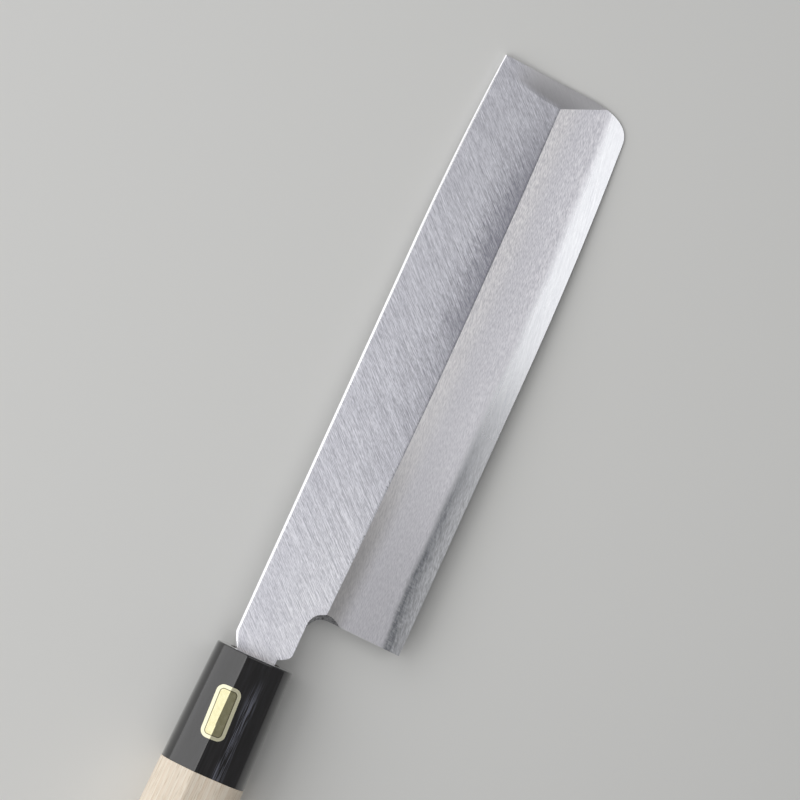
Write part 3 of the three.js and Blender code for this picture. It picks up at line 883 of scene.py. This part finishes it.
# Water-buffalo horn, polished: near black and glossy, with fibres along it; in one band along the ferrule the
# fibres are painted pale, partly their own streaks and partly a painted reflection.
# Single fibres are finer than 0.1 mm, and are drawn 0.25 mm wide so that they show.
hornSettings = {
    # the fibres' pale colour is partly their own and partly a painted reflection, laid in a band
    "dark": "#070607", "brown": "#1a1718", "fibreAndSheen": "#747683", "roughness": (0.1, 0.2), "ior": 1.56,
    "grains": {"streak": ((22, 0.9, 0.9), 0, 2, 0.5), "fibreAndSheen": ((16, 0.25, 0.25), 0, 2, 0.5)},
    "fibreTone": (0.46, 0.64), "fibreDepth": 0.006, "wax": 1.0, "waxRoughness": 0.06,
    "sheenBandY": -4.3, "sheenBandReach": (2.1, 0.4), "strayShare": 0.06,
    "sheenBandFade": (-4, -16, 0.1),  # along the ferrule
}


def blackHorn(s):
    material, add, grain, knife = startMaterial("polished black buffalo horn", s["grains"])
    x = add("SeparateXYZ", {0: knife})
    # painted reflection: a band of pale fibre streaks at one place across the ferrule, fading along it
    across = add("Math", {0: x.node.outputs[1], 1: -s["sheenBandY"]}, **plus)
    across = add("Math", {0: across}, operation="ABSOLUTE")
    fade = add("MapRange", {0: x, **span(s["sheenBandFade"])}, **eased)
    limits = (*s["sheenBandReach"], s["strayShare"], fade)
    sheenBand = add("MapRange", {0: across, **span(limits)}, **eased)
    bright = add("MapRange", {0: grain["fibreAndSheen"], **span(s["fibreTone"])})
    shine = add("Math", {0: sheenBand, 1: bright}, **times)
    colour = add("Mix", {0: grain["streak"], 6: s["dark"], 7: s["brown"]}, **inColour)
    colour = add("Mix", {0: shine, 6: colour, 7: s["fibreAndSheen"]}, **inColour)
    rough = add("MapRange", {0: grain["streak"], **span((*noiseSpan, *s["roughness"]))})
    sockets = {
        "Base Color": colour, "Roughness": rough, "IOR": s["ior"],
        "Coat Weight": s["wax"], "Coat Roughness": s["waxRoughness"],
    }
    return finishMaterial(material, sockets, grain["fibreAndSheen"], s["fibreDepth"])


finishPiece(
    makeFerrule(ferruleSettings), "hornFerrule", "horn_ferrule", [blackHorn(hornSettings)])


handleSettings = {
    "buttRound": 1.4, "ridgeEase": 0.4, "tenonRecess": 0.4, "slotGap": 0.25, "slotEnd": -93, "steps": 14,
}


def makeHandle(s):
    bm = bmesh.new()
    frontX = -sectionSettings["ferruleLength"] - sectionSettings["glueGap"]
    frontRing = startRing(bm, frontX)
    edges = drawLength(bm, frontRing, frontX, s["buttRound"] - handleLength, s["steps"])
    edges = roundEnd(bm, edges, -handleLength, s["buttRound"], 1)
    bmesh.ops.contextual_create(bm, geom=edges)
    # tenon inside the ferrule, with the slot burnt out for the tang
    edges = innerRing(bm, frontRing, frontX, tenonHalves())
    edges = innerRing(bm, edges, -s["tenonRecess"], tenonHalves())
    slot = [b[size] / 2 + s["slotGap"] for size in ("tangWidth", "tangThickness")]
    slotEnd = [b[size] / 2 + s["slotGap"] for size in ("tangEndWidth", "tangEndThickness")]
    edges = innerRing(bm, edges, -s["tenonRecess"], slot, square=True)
    edges = innerRing(bm, edges, s["slotEnd"], slotEnd, square=True)
    bmesh.ops.contextual_create(bm, geom=edges)
    easeRidge(bm, s["ridgeEase"])
    return bm


# Magnolia, sanded and left bare: pale cream, faint straight year rings and fine darker vessel lines.
# The vessels are near 0.08 mm wide, and are drawn 0.25 mm wide so that they show.
woodSettings = {
    "pale": "#f9eedd", "ring": "#e4ceb6", "vessel": "#c0aa8c", "roughness": 0.62,
    "ringGap": 1.7, "ringStretch": (25, 1, 1), "heartwood": (0, -70, 45),
    "grains": {"vessel": ((5, 0.25, 0.25), 0, 2, 0.5), "cloud": ((45, 7, 7), 0, 2, 0.5)},
    "vesselTone": (0.52, 0.75, 0, 0.6), "vesselDepth": 0.015,
}


def magnoliaWood(s):
    material, add, grain, knife = startMaterial("bare sanded magnolia", s["grains"])
    ringPlace = add("Mapping", {0: knife, "Location": s["heartwood"], "Scale": s["ringStretch"]}, **asTexture)
    ringScale = 2 * math.pi / 20 / s["ringGap"]  # one ring of the wave texture is 2 pi / 20 wide
    rings = add("TexWave", {
        "Vector": ringPlace, "Scale": ringScale, "Distortion": 2.5, "Detail": 2, "Detail Scale": 0.6,
    }, out=1, wave_type="RINGS", rings_direction="X", wave_profile="SAW")
    ringShare = add("Math", {0: rings, 1: grain["cloud"]}, **times)
    colour = add("Mix", {0: ringShare, 6: s["pale"], 7: s["ring"]}, **inColour)
    vessels = add("MapRange", {0: grain["vessel"], **span(s["vesselTone"])})
    colour = add("Mix", {0: vessels, 6: colour, 7: s["vessel"]}, **inColour)
    sockets = {"Base Color": colour, "Roughness": s["roughness"]}
    return finishMaterial(material, sockets, vessels, s["vesselDepth"], sunk=True)


finishPiece(
    makeHandle(handleSettings), "woodenHandle", "wooden_handle",
    [magnoliaWood(woodSettings)])


labelSettings = {
    "length": 15.6, "width": 7.2, "corner": 2.2, "thickness": 0.12, "gap": 0.06, "slant": 2.5,
    "cutsAlong": (-5, -2.5, 0, 2.5, 5), "cutsAcross": (-0.3, 0, 0.3),  # where it bends round the ferrule
}
labelX = -sectionSettings["ferruleLength"] / 2
labelY = sectionSettings["ridgePlace"] * handleHalves(labelX)[0]


def topOfSection(x, y, grow):
    height, width = handleHalves(x, grow)
    upper = sorted((p.x * height, p.y * width) for p in chestnut if p.y > 0)
    for (y0, z0), (y1, z1) in zip(upper, upper[1:]):
        if y0 <= y <= y1:
            return mix(z0, z1, (y - y0) / (y1 - y0))


def makeLabel(s):
    bm = bmesh.new()
    bmesh.ops.create_grid(bm, x_segments=1, y_segments=1, size=0.5)
    bmesh.ops.scale(bm, vec=(s["length"], s["width"], 1), verts=bm.verts)
    bmesh.ops.bevel(
        bm, geom=bm.verts[:], affect="VERTICES", offset=s["corner"], offset_type="OFFSET", segments=8,
        profile=0.5, material=-1)
    turn = Matrix.Rotation(math.radians(s["slant"]), 3, "Z")  # stuck on a little crooked
    bmesh.ops.rotate(bm, matrix=turn, cent=(0, 0, 0), verts=bm.verts)
    cuts = [((x, 0, 0), (1, 0, 0)) for x in s["cutsAlong"]]
    cuts += [((0, y, 0), (0, 1, 0)) for y in s["cutsAcross"]]
    for point, normal in cuts:
        sliceMesh(bm, allGeom(bm), point, normal)
    bmesh.ops.translate(bm, vec=(labelX, labelY, 0), verts=bm.verts)
    for v in bm.verts:
        v.co.z = topOfSection(v.co.x, v.co.y, s["gap"])
    top = bmesh.ops.extrude_face_region(bm, geom=bm.faces[:])["geom"]
    bmesh.ops.translate(bm, vec=(0, 0, s["thickness"]), verts=only(BMVert, top))
    return bm


# Varnished gold foil on paper: bright pale gold, faintly crinkled, with one thin printed line inside its edge
# and a paler, duller margin outside the line
foilSettings = {
    "gold": "#e6e1bc", "shade": "#d0c996", "margin": "#e9e5c6", "line": "#4a4326",
    "lineInset": 1.1, "lineWidth": 0.2, "lineSoftness": (0.65, 0.35),
    "grains": {"crinkle": ((1.2, 1.2, 1.2), 0, 2, 0.5)}, "crinkleDepth": 0.015,
    "roughness": (0.16, 0.24), "marginRoughness": 0.39, "varnish": 1, "varnishRoughness": 0.1,
}


def goldFoil(s):
    material, add, grain, knife = startMaterial("gold foil", s["grains"])
    colour = add("Mix", {0: grain["crinkle"], 6: s["shade"], 7: s["gold"]}, **inColour)
    # distance past the line, which follows the label's rounded edge
    label = labelSettings
    slant = (0, 0, math.radians(label["slant"]))
    place = add("Mapping", {0: knife, "Location": (labelX, labelY, 0), "Rotation": slant}, **asTexture)
    flat = add("VectorMath", {0: place, 1: (1, 1, 0)}, **times)
    mirrored = add("VectorMath", {0: flat}, operation="ABSOLUTE")
    straight = (label["length"] / 2 - label["corner"], label["width"] / 2 - label["corner"], 0)
    past = add("VectorMath", {0: mirrored, 1: straight}, **minus)
    corner = add("VectorMath", {0: past, 1: (0, 0, 0)}, operation="MAXIMUM")
    outside = add("VectorMath", {0: corner}, out=1, operation="LENGTH")
    pastX = add("SeparateXYZ", {0: past})
    nearest = add("Math", {0: pastX, 1: pastX.node.outputs[1]}, operation="MAXIMUM")
    inside = add("Math", {0: nearest, 1: 0}, operation="MINIMUM")
    reach = add("Math", {0: outside, 1: inside}, **plus)
    pastLine = add("Math", {0: reach, 1: s["lineInset"] - label["corner"]}, **plus)
    margin = add("MapRange", {0: pastLine, 1: -s["lineWidth"] / 2, 2: s["lineWidth"] / 2})
    colour = add("Mix", {0: margin, 6: colour, 7: s["margin"]}, **inColour)
    offLine = add("Math", {0: pastLine}, operation="ABSOLUTE")
    limits = [s["lineWidth"] * share for share in s["lineSoftness"]]
    line = add("MapRange", {0: offLine, **span(limits)})
    colour = add("Mix", {0: line, 6: colour, 7: s["line"]}, **inColour)
    rough = add("MapRange", {0: grain["crinkle"], **span((0, 1, *s["roughness"]))})
    rough = add("MapRange", {0: margin, 3: rough, 4: s["marginRoughness"]})
    sockets = {
        "Base Color": colour, "Roughness": rough, "Metallic": 1,
        "Coat Weight": s["varnish"], "Coat Roughness": s["varnishRoughness"],
    }
    return finishMaterial(material, sockets, grain["crinkle"], s["crinkleDepth"])


finishPiece(makeLabel(labelSettings), "foilLabel", "foil_label", [goldFoil(foilSettings)])


# Stage and light
stageSettings = {
    "floorSize": 4.0,  # m
    "floorColour": "#e4e4e2", "floorRoughness": 0.9, "worldStrength": 0.18, "worldColour": "#ffffff",
}
lampSettings = [
    # name, place and aim in knife millimetres, direction of its length, length and width, radiance
    ("keyLamp", (0, 800, 480), (0, 0, 0), (1, 0, 0), (2000, 1150), 1.2),
    ("topLamp", (-100, 115, 600), (-100, 115, 0), (0.88, 0.47, 0), (620, 330), 1.36),
    ("tipLamp", (215, -210, 480), (200, -60, 0), (1, 0, 0), (240, 250), 1.54),
]


def makeStage(s):
    bm = bmesh.new()
    bmesh.ops.create_grid(bm, x_segments=1, y_segments=1, size=s["floorSize"] / 2)
    mesh = bpy.data.meshes.new("floor")
    bm.to_mesh(mesh)
    bm.free()
    floor = bpy.data.objects.new("floor", mesh)
    scene.collection.objects.link(floor)
    material = bpy.data.materials.new("matte paper floor")  # even and pale, with no shine
    material.use_nodes = True
    tree = material.node_tree
    paper = {"Base Color": s["floorColour"], "Roughness": s["floorRoughness"]}
    setInputs(tree, tree.nodes["Principled BSDF"], paper)
    mesh.materials.append(material)
    world = bpy.data.worlds.new("studio")
    world.use_nodes = True
    sky = {"Strength": s["worldStrength"], "Color": s["worldColour"]}
    setInputs(world.node_tree, world.node_tree.nodes["Background"], sky)
    scene.world = world
    scene.view_settings.view_transform = "Standard"


def makeLamp(name, place, aim, along, size, radiance):
    data = bpy.data.lights.new(name, "AREA")
    data.shape = "RECTANGLE"
    data.size, data.size_y = (side / metre for side in size)
    data.energy = radiance * math.pi * data.size * data.size_y
    lamp = bpy.data.objects.new(name, data)
    away = (Vector(place) - Vector(aim)).normalized()
    side = away.cross(Vector(along)).normalized()
    turn = Matrix((side.cross(away), side, away)).transposed().to_4x4()
    lamp.matrix_world = levelPlace @ Matrix.Translation(Vector(place) / metre) @ turn
    lamp.visible_camera = False
    scene.collection.objects.link(lamp)


makeStage(stageSettings)
for lamp in lampSettings:
    makeLamp(*lamp)
print("stage and lamps placed")
